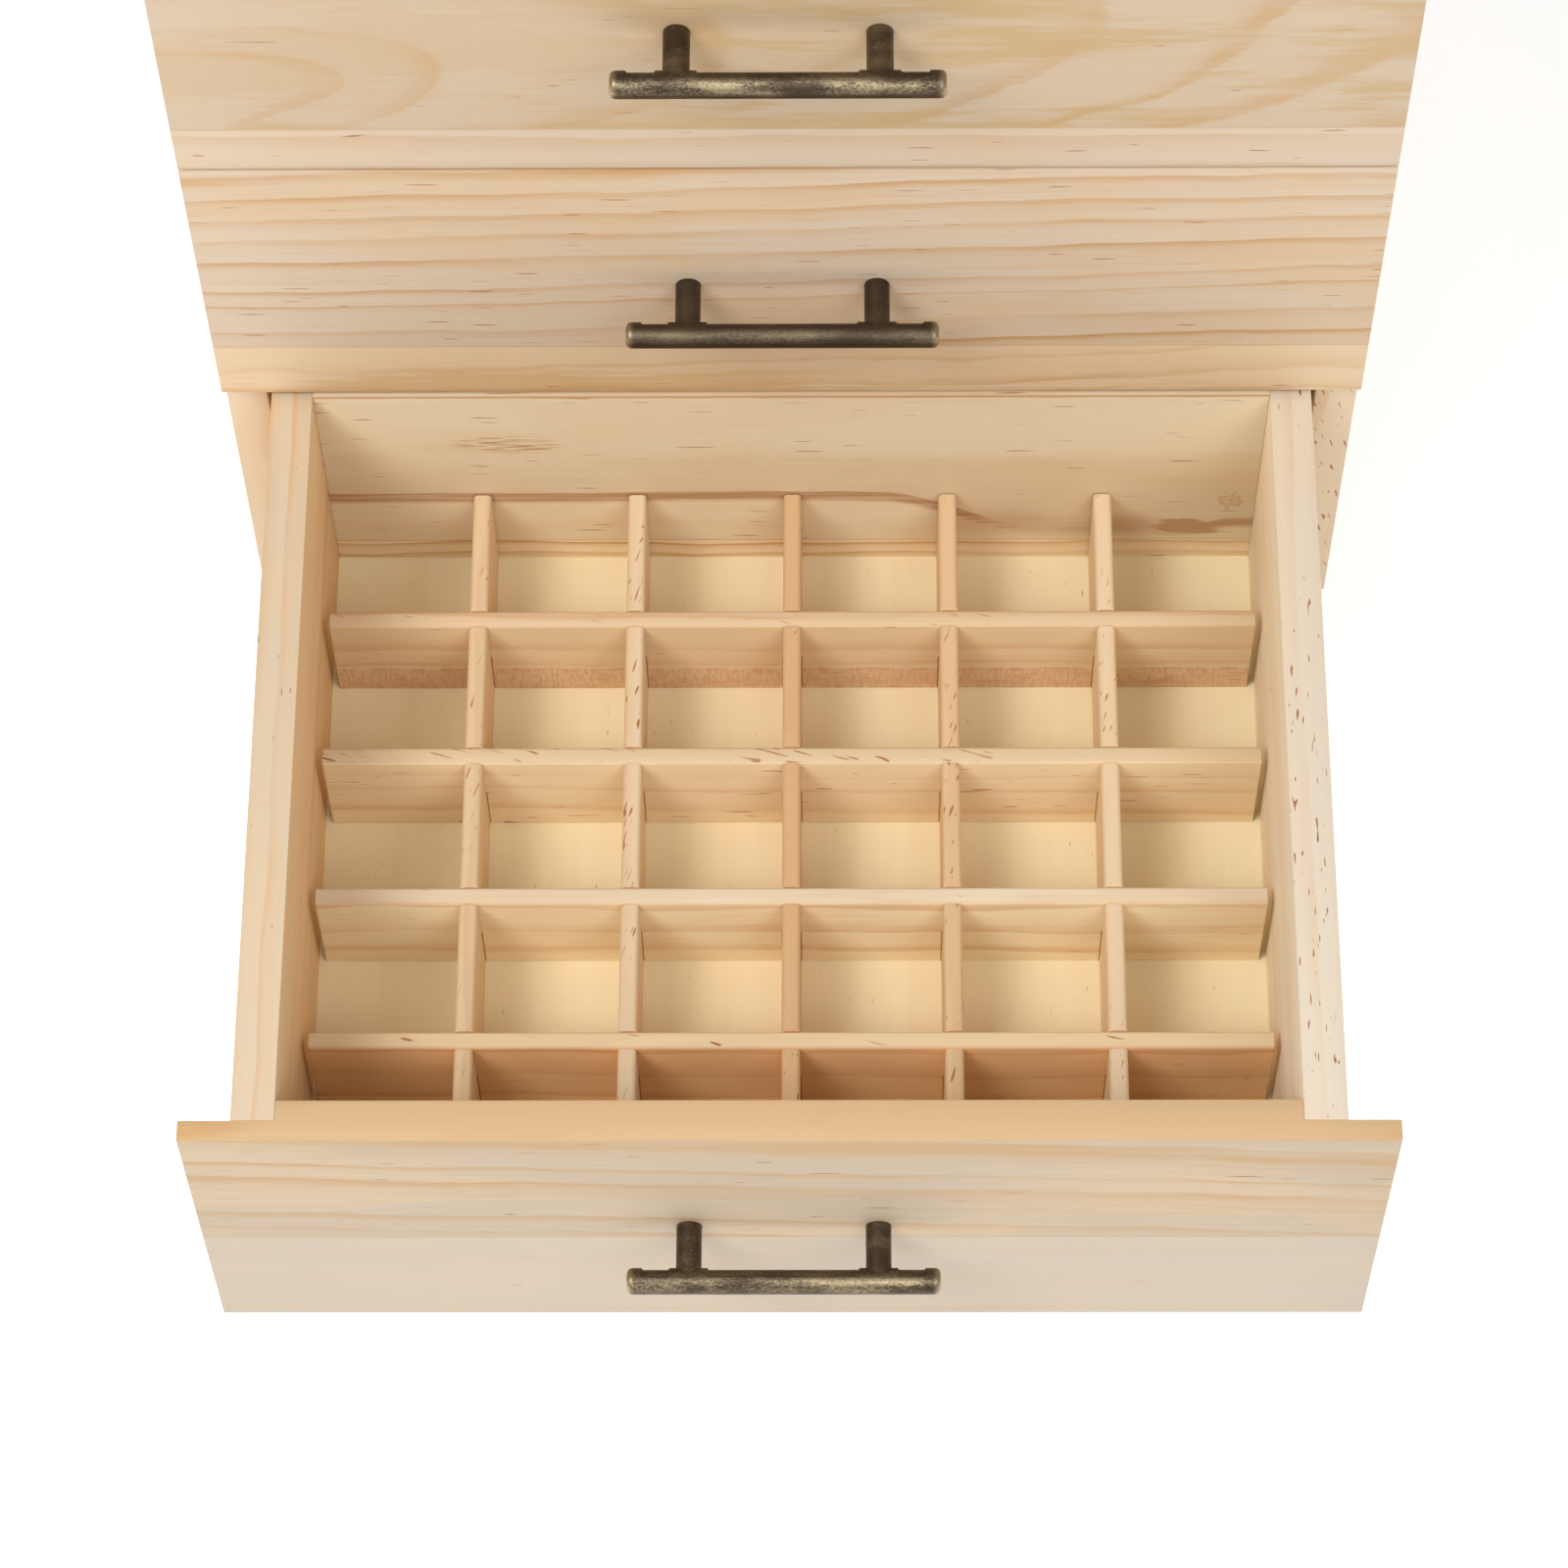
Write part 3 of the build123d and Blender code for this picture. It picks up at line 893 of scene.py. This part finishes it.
def side_pine(node, side, count):
    """Straight lines on the faces, and broad warm streaks where the rings come out on top."""
    wood = bpy.context.scene.box_wood
    values = look(
        Seed=40.4 + 7.3 * count, Ring_Width=0.0066, Pith_Across=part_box(node)[1][2] - 0.004,
        Pith_Deep=-0.05, Wave=0.02, Contrast=0.75, Streaks=0.5,
        Dashes=0.3, Dash_Length=0.002, Early=(0.83, 0.84, 0.82))
    # Painted light: the broad faces are tinted brighter and warmer for the light that bounces
    # inside the drawer
    painted_face_light = (1.34, 1.21, 1.01)
    if side == "right":
        values.update(look(
            Seed=51.9 + 7.3 * count, Pith_Deep=0.05, Ring_Width=0.008, Contrast=0.4,
            Dashes=0.65, Dash_Length=0.0015, Early=(0.89, 0.96, 1.04)))
        painted_face_light = (1.35, 1.38, 1.34)
    return pine(f"{node} pine", ALONG_Y, [(None, values)], painted_face_light=painted_face_light)


def back_pine(node, floor, count):
    """Plain wood with flecks over a lined strip, crossed by one brown resin streak, with painted
    light below the streak and a painted shadow along the top edge.
    """
    wood = bpy.context.scene.box_wood
    strip = look(
        Seed=61.2 + 5.3 * count, Ring_Width=0.003, Pith_Across=-0.16, Pith_Deep=0.1,
        Contrast=1.25, Patches=0.5, Dashes=0.15, Early=(1.08, 1.1, 1.02))
    plain = look(
        Seed=66.8 + 5.3 * count, Ring_Width=0.03, Pith_Across=0.03, Pith_Deep=-0.25, Wave=0.02,
        Contrast=0.35, Patches=0.3, Dashes=0.55, Dash_Length=0.006, Early=(0.965, 1.015, 0.965))

    def streak(t, vector, color, height):
        mark = t.group("Resin with painted shade and light", streak_group, Vector=vector, Floor=floor,
                       Rim=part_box(node)[1][2], Face=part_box(node)[0][1], Color=color,
                       Brown=opaque(wood.late, (0.8, 0.76, 0.8)),
                       # Painted light for the wall below the streak, inside the cells
                       Below=(1.13, 1.16, 1.18, 1.0))
        return mark["Color"], height

    return pine(f"{node} pine", ALONG_X, [(None, strip), (floor + LINED_BAND, plain)], streak)


class BOX_OT_dividers(bpy.types.Operator):
    """Build the lapped dividers that make the cells"""
    bl_idname = "box.dividers"
    bl_label = "Dividers"

    def execute(self, context):
        row_nodes = [f"bottom_row_divider_{row}" for row in ROWS]
        cross_nodes = [f"bottom_cross_divider_{column}" for column in COLUMNS]
        row = toothed_strip(row_nodes[0], 0, [spread(node, 0) for node in cross_nodes], -1)
        cross = toothed_strip(cross_nodes[0], 1, [spread(node, 1) for node in row_nodes], 1)
        for kind, strip, numbers in (("row", row, ROWS), ("cross", cross, COLUMNS)):
            start = Vector(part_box(f"bottom_{kind}_divider_1")[0])
            for name in DRAWERS:
                for number in numbers:
                    node = f"{name}_{kind}_divider_{number}"
                    piece = copy_to(strip, f"{node}_strip", Vector(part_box(node)[0]) - start)
                    place(piece, node, "divider_pine", strip_pine(kind, number, name))
            bpy.data.objects.remove(strip)
        return {"FINISHED"}


# Play in the half-laps, ease of the strips' edges, dark upper edge of the bottom front and
# height of the lined strip of a drawer's back
PLAY = 0.0001
STRIP_EASE = 0.0002
EDGE_BAND = 0.0003
LINED_BAND = 0.008


def spread(node, axis):
    """Where a crossing strip lies along an axis, with a little play."""
    low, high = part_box(node)
    return low[axis] - PLAY, high[axis] + PLAY


def toothed_strip(node, axis, gaps, side):
    """Half-height strip with teeth pushed out between its half-lap notches, and a round top."""
    wood = bpy.context.scene.box_wood
    low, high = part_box(node)
    half = (high[2] - low[2]) / 2
    body_low, body_high = Vector(low), Vector(high)
    if side > 0:
        body_high.z = low[2] + half - PLAY
    else:
        body_low.z = low[2] + half + PLAY
    piece = block(f"{node}_strip", body_low, body_high)
    begin_edit(piece)
    cut(axis, [place for gap in gaps for place in gap])
    pick_faces(piece, lambda centre, normal: normal.z * side > 0.9
               and not any(between(centre[axis], *gap) for gap in gaps))
    push((0.0, 0.0, side * (half + PLAY)))
    top = high[2]
    pick_edges(piece, lambda first, second: min(first.z, second.z) > top - 0.00005
               and abs(first[axis] - second[axis]) > 0.0005)
    bpy.ops.mesh.bevel(offset=wood.strip_round, segments=4, affect="EDGES")
    bpy.ops.mesh.select_mode(type="FACE")
    end_edit()
    ease(piece, STRIP_EASE, segments=1)
    return piece


# Tint on top, flecks on top, how strongly the lines show and the tint of the faces, by divider.
# The face tint is painted light: brighter, warmer broad faces that stand in for the bounce light
# in the cells
ROW_LOOKS = {1: ((0.9, 0.89, 0.81), 0.3, 0.75, (1.27, 1.00, 0.78)),
             2: ((0.884, 1.000, 1.07), 0.3, 0.7, (1.26, 1.26, 1.13)),
             3: ((0.787, 0.779, 0.727), 1.4, 0.8, (1.33, 1.39, 1.38)),
             4: ((0.775, 0.752, 0.708), 0.5, 0.9, (1.18, 1.21, 1.14))}
# Painted light: the cross dividers' broad faces are made brighter for the bounce light in the
# cells
CROSS_FACE_LIGHT = (1.2, 1.18, 1.1)
CROSS_LOOKS = {1: ((0.797, 0.774, 0.697), 0.8, 0.7, CROSS_FACE_LIGHT),
               2: ((0.84, 0.84, 0.81), 1.1, 0.6, CROSS_FACE_LIGHT),
               3: ((0.73, 0.59, 0.44), 0.6, 0.7, CROSS_FACE_LIGHT),
               4: ((0.795, 0.72, 0.6), 0.9, 0.7, CROSS_FACE_LIGHT),
               5: ((0.84, 0.84, 0.815), 0.9, 0.5, CROSS_FACE_LIGHT)}


def strip_pine(kind, number, drawer):
    """Pinkish pine of one divider. The rear row of each drawer has a torn lower edge."""
    wood = bpy.context.scene.box_wood
    looks = ROW_LOOKS if kind == "row" else CROSS_LOOKS
    tint, flecks, contrast, painted_face_light = looks[number]
    torn = kind == "row" and number == max(ROWS)
    name = f"{drawer if torn else 'any'} {kind} divider {number} pine"
    if name in bpy.data.materials:
        return bpy.data.materials[name]
    order = ALONG_X if kind == "row" else ALONG_Y
    values = look(
        wood.strip, Seed=80.4 + 3.9 * number + (17.3 if kind == "cross" else 0.0),
        Ring_Width=0.0068, Pith_Across=0.4, Pith_Deep=0.25, Wave=0.01, Contrast=contrast,
        Streaks=0.3, Dashes=flecks,
        Dash_Length=0.0036 if kind == "row" else 0.002, Slant=-0.3 if kind == "row" else 0.3,
        Early=tint, Late=(0.69, 0.56, 0.44), Warm=(0.8, 0.71, 0.6))
    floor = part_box(f"{drawer}_row_divider_{max(ROWS)}")[0][2]

    def torn_edge(t, vector, color, height):
        band = t.group("Torn fibres", sawn_group, Vector=vector, Floor=floor, Color=color,
                       Height=height, Torn=opaque(wood.strip, (0.66, 0.46, 0.4)))
        return band["Color"], band["Height"]

    return pine(name, order, [(None, values)], torn_edge if torn else None, painted_face_light)


# How far the patina of each handle is rubbed through, which also sets the strength of its painted
# highlight
HANDLE_WEAR = {"bottom": 0.78, "middle": 0.2, "top": 0.7}


class BOX_OT_handles(bpy.types.Operator):
    """Cast one bar handle, copy it to each front and rub through its patina, with a painted
    highlight on the bar's upper front
    """
    bl_idname = "box.handles"
    bl_label = "Handles"

    def execute(self, context):
        settings = context.scene.box_handle
        first_low, first_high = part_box("bottom_handle")
        casting = cast_handle(settings, first_low, first_high)
        for name in DRAWERS:
            node = f"{name}_handle"
            low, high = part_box(node)
            piece = copy_to(casting, f"{node}_casting", Vector(low) - Vector(first_low))
            middle = ((low[0] + high[0]) / 2, low[1] + settings.bar_radius,
                      (low[2] + high[2]) / 2)
            material = bronze(f"{name} handle bronze", middle, HANDLE_WEAR[name],
                              settings.patina, settings.rubbed)
            place(piece, node, "antique_bronze", material)
        bpy.data.objects.remove(casting)
        return {"FINISHED"}


def cast_handle(settings, low, high):
    """Round bar with a hollowed back and domed ends, blended into its two posts."""
    x, z = (low[0] + high[0]) / 2, (low[2] + high[2]) / 2
    bar_y = low[1] + settings.bar_radius
    bar = round_bar("bar", settings.bar_radius, (low[0], bar_y, z), (high[0], bar_y, z),
                    TURN_TO_X, 64)
    modify(bar, "BEVEL", width=settings.bar_radius * 0.42, segments=5, limit_method="ANGLE",
           angle_limit=radians(60))
    half = (high[0] - low[0]) / 2
    post, boss = settings.hole_spacing / 2, settings.boss_width / 2
    spans = ((settings.cap_length - half, -post - boss), (boss - post, post - boss),
             (post + boss, half - settings.cap_length))
    begin_edit(bar)
    cut(0, [x + place for span in spans for place in span])
    pick_faces(bar, lambda centre, normal: centre.y > bar_y and abs(normal.x) < 0.5
               and any(between(centre.x - x, *span) for span in spans))
    bpy.ops.mesh.extrude_region_shrink_fatten(
        TRANSFORM_OT_shrink_fatten={"value": -settings.hollow})
    end_edit()
    posts = [round_bar("post", settings.post_radius, (x + side * post, bar_y, z),
                       (x + side * post, high[1], z), TURN_TO_Y, 48) for side in (-1, 1)]
    take(bar)
    for item in posts:
        item.select_set(True)
    bpy.ops.object.join()
    modify(bar, "REMESH", mode="VOXEL", voxel_size=settings.casting_grid)
    modify(bar, "SMOOTH", factor=0.5, iterations=2)
    modify(bar, "DECIMATE", ratio=0.3)
    take(bar)
    bpy.ops.object.shade_smooth()
    return bar


class BOX_OT_screws(bpy.types.Operator):
    """Turn one pan-head screw with a cross recess and copy it to each post"""
    bl_idname = "box.screws"
    bl_label = "Handle screws"

    def execute(self, context):
        spacing = context.scene.box_handle.hole_spacing
        steel = steel_material()
        first_low, first_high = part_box("bottom_handle_screws")
        screw = pan_head_screw(first_low, first_high, -spacing / 2)
        for name in DRAWERS:
            node = f"{name}_handle_screws"
            offset = Vector(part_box(node)[0]) - Vector(first_low)
            left = copy_to(screw, f"{node}_pair", offset)
            right = copy_to(screw, "right_screw", offset + Vector((spacing, 0.0, 0.0)))
            take(left)
            right.select_set(True)
            bpy.ops.object.join()
            place(left, node, "screw_steel", steel)
        bpy.data.objects.remove(screw)
        return {"FINISHED"}


def pan_head_screw(low, high, offset, head_height=0.0024, shank_radius=0.0019):
    """Shank, domed head and a cross recess, pointing along Y."""
    x, z = (low[0] + high[0]) / 2 + offset, (low[2] + high[2]) / 2
    head_radius = (high[2] - low[2]) / 2
    head_low = high[1] - head_height
    screw = round_bar("screw", shank_radius, (x, low[1], z), (x, head_low, z), TURN_TO_Y, 40)
    grow = head_radius / shank_radius
    begin_edit(screw)
    pick_faces(screw, lambda centre, normal: normal.y > 0.9)
    push((0.0, 0.0, 0.0))
    bpy.ops.transform.resize(value=(grow, 1.0, grow), center_override=(x, head_low, z))
    push((0.0, head_height, 0.0))
    bpy.ops.mesh.select_mode(type="EDGE")
    bpy.ops.mesh.bevel(offset=head_height * 0.6, segments=5, profile=0.55)
    bpy.ops.mesh.select_mode(type="FACE")
    end_edit()
    for wide, narrow in ((1.0, 0.16), (0.16, 1.0)):
        deselect()
        bpy.ops.mesh.primitive_cone_add(
            vertices=4, radius1=head_radius * 0.1, radius2=head_radius * 0.62,
            depth=head_height, location=(x, high[1] - head_height * 0.35, z),
            rotation=TURN_TO_Y)
        blade = bpy.context.object
        blade.scale = (wide, narrow, 1.0)
        cut_away(screw, settle(blade, "blade"))
    take(screw)
    bpy.ops.object.shade_smooth_by_angle(angle=radians(40))
    return screw


class BOX_OT_stage(bpy.types.Operator):
    """Set up the pale floor, the soft lights and the camera"""
    bl_idname = "box.stage"
    bl_label = "Stage"

    def execute(self, context):
        settings = context.scene.box_stage
        deselect()
        bpy.ops.mesh.primitive_plane_add(size=settings.floor_size, location=(0.0, 0.0, 0.0))
        floor = bpy.context.object
        floor.name = "pale_floor"
        paper = bpy.data.materials.new("pale floor")
        paper.use_nodes = True
        surface = {"Base Color": (0.94, 0.94, 0.94, 1.0), "Roughness": 0.9,
                   "Specular IOR Level": 0.1, "Emission Color": (0.92, 0.96, 1.0, 1.0),
                   "Emission Strength": settings.floor_glow}
        for key, value in surface.items():
            paper.node_tree.nodes["Principled BSDF"].inputs[key].default_value = value
        floor.data.materials.append(paper)
        world = context.scene.world or bpy.data.worlds.new("Room")
        context.scene.world = world
        world.use_nodes = True
        background = world.node_tree.nodes["Background"]
        background.inputs["Color"].default_value = (1.0, 1.0, 1.0, 1.0)
        background.inputs["Strength"].default_value = settings.room
        soft_light("key_light", (-0.95, -0.95, 1.95), 0.9, settings.key_power)
        soft_light("fill_light", (0.8, -1.2, 1.75), 1.2, settings.fill_power)
        soft_light("front_light", (0.1, -1.7, 1.2), 1.0, settings.front_power)
        camera = bpy.data.objects.new("photo_camera", bpy.data.cameras.new("photo_camera"))
        context.collection.objects.link(camera)
        camera.data.sensor_width = 36.0
        camera.data.lens = settings.lens
        camera.data.clip_end = 20.0
        turn = (Matrix.Rotation(settings.yaw, 4, "Z")
                @ Matrix.Rotation(radians(90) - settings.pitch, 4, "X")
                @ Matrix.Rotation(settings.roll, 4, "Z"))
        camera.matrix_world = Matrix.Translation(settings.camera_place) @ turn
        context.scene.camera = camera
        context.scene.view_settings.view_transform = "Standard"
        return {"FINISHED"}


def soft_light(name, place, size, power):
    """Large square light that looks at the middle of the box."""
    data = bpy.data.lights.new(name, "AREA")
    data.shape = "SQUARE"
    data.size = size
    data.energy = power
    light = bpy.data.objects.new(name, data)
    bpy.context.collection.objects.link(light)
    light.location = place
    target = Vector((0.0, -0.1, 0.08))
    light.rotation_euler = (target - Vector(place)).to_track_quat("-Z", "Y").to_euler()


class BOX_PT_sidebar(bpy.types.Panel):
    """Lists the settings and the steps that build the box"""
    bl_idname = "BOX_PT_sidebar"
    bl_label = "Essential oil storage box"
    bl_space_type = "VIEW_3D"
    bl_region_type = "UI"
    bl_category = "Storage box"

    def draw(self, context):
        for group in (context.scene.box_wood, context.scene.box_handle, context.scene.box_stage):
            column = self.layout.column(align=True)
            for key in group.bl_rna.properties.keys():
                if key not in ("rna_type", "name"):
                    column.prop(group, key)
        for step in STEPS:
            self.layout.operator(step.bl_idname)


STEPS = (BOX_OT_cabinet, BOX_OT_fronts, BOX_OT_drawer_boxes, BOX_OT_dividers, BOX_OT_handles,
         BOX_OT_screws, BOX_OT_stage)
SETTINGS = {"box_wood": WoodSettings, "box_handle": HandleSettings, "box_stage": StageSettings}


def register():
    for item in (*SETTINGS.values(), *STEPS, BOX_PT_sidebar):
        bpy.utils.register_class(item)
    for key, group in SETTINGS.items():
        setattr(bpy.types.Scene, key, PointerProperty(type=group))


def unregister():
    for key in SETTINGS:
        delattr(bpy.types.Scene, key)
    for item in reversed((*SETTINGS.values(), *STEPS, BOX_PT_sidebar)):
        bpy.utils.unregister_class(item)


def main():
    register()
    bpy.ops.box.cabinet()
    bpy.ops.box.fronts()
    bpy.ops.box.drawer_boxes()
    bpy.ops.box.dividers()
    bpy.ops.box.handles()
    bpy.ops.box.screws()
    bpy.ops.box.stage()


if __name__ == "__main__":
    main()
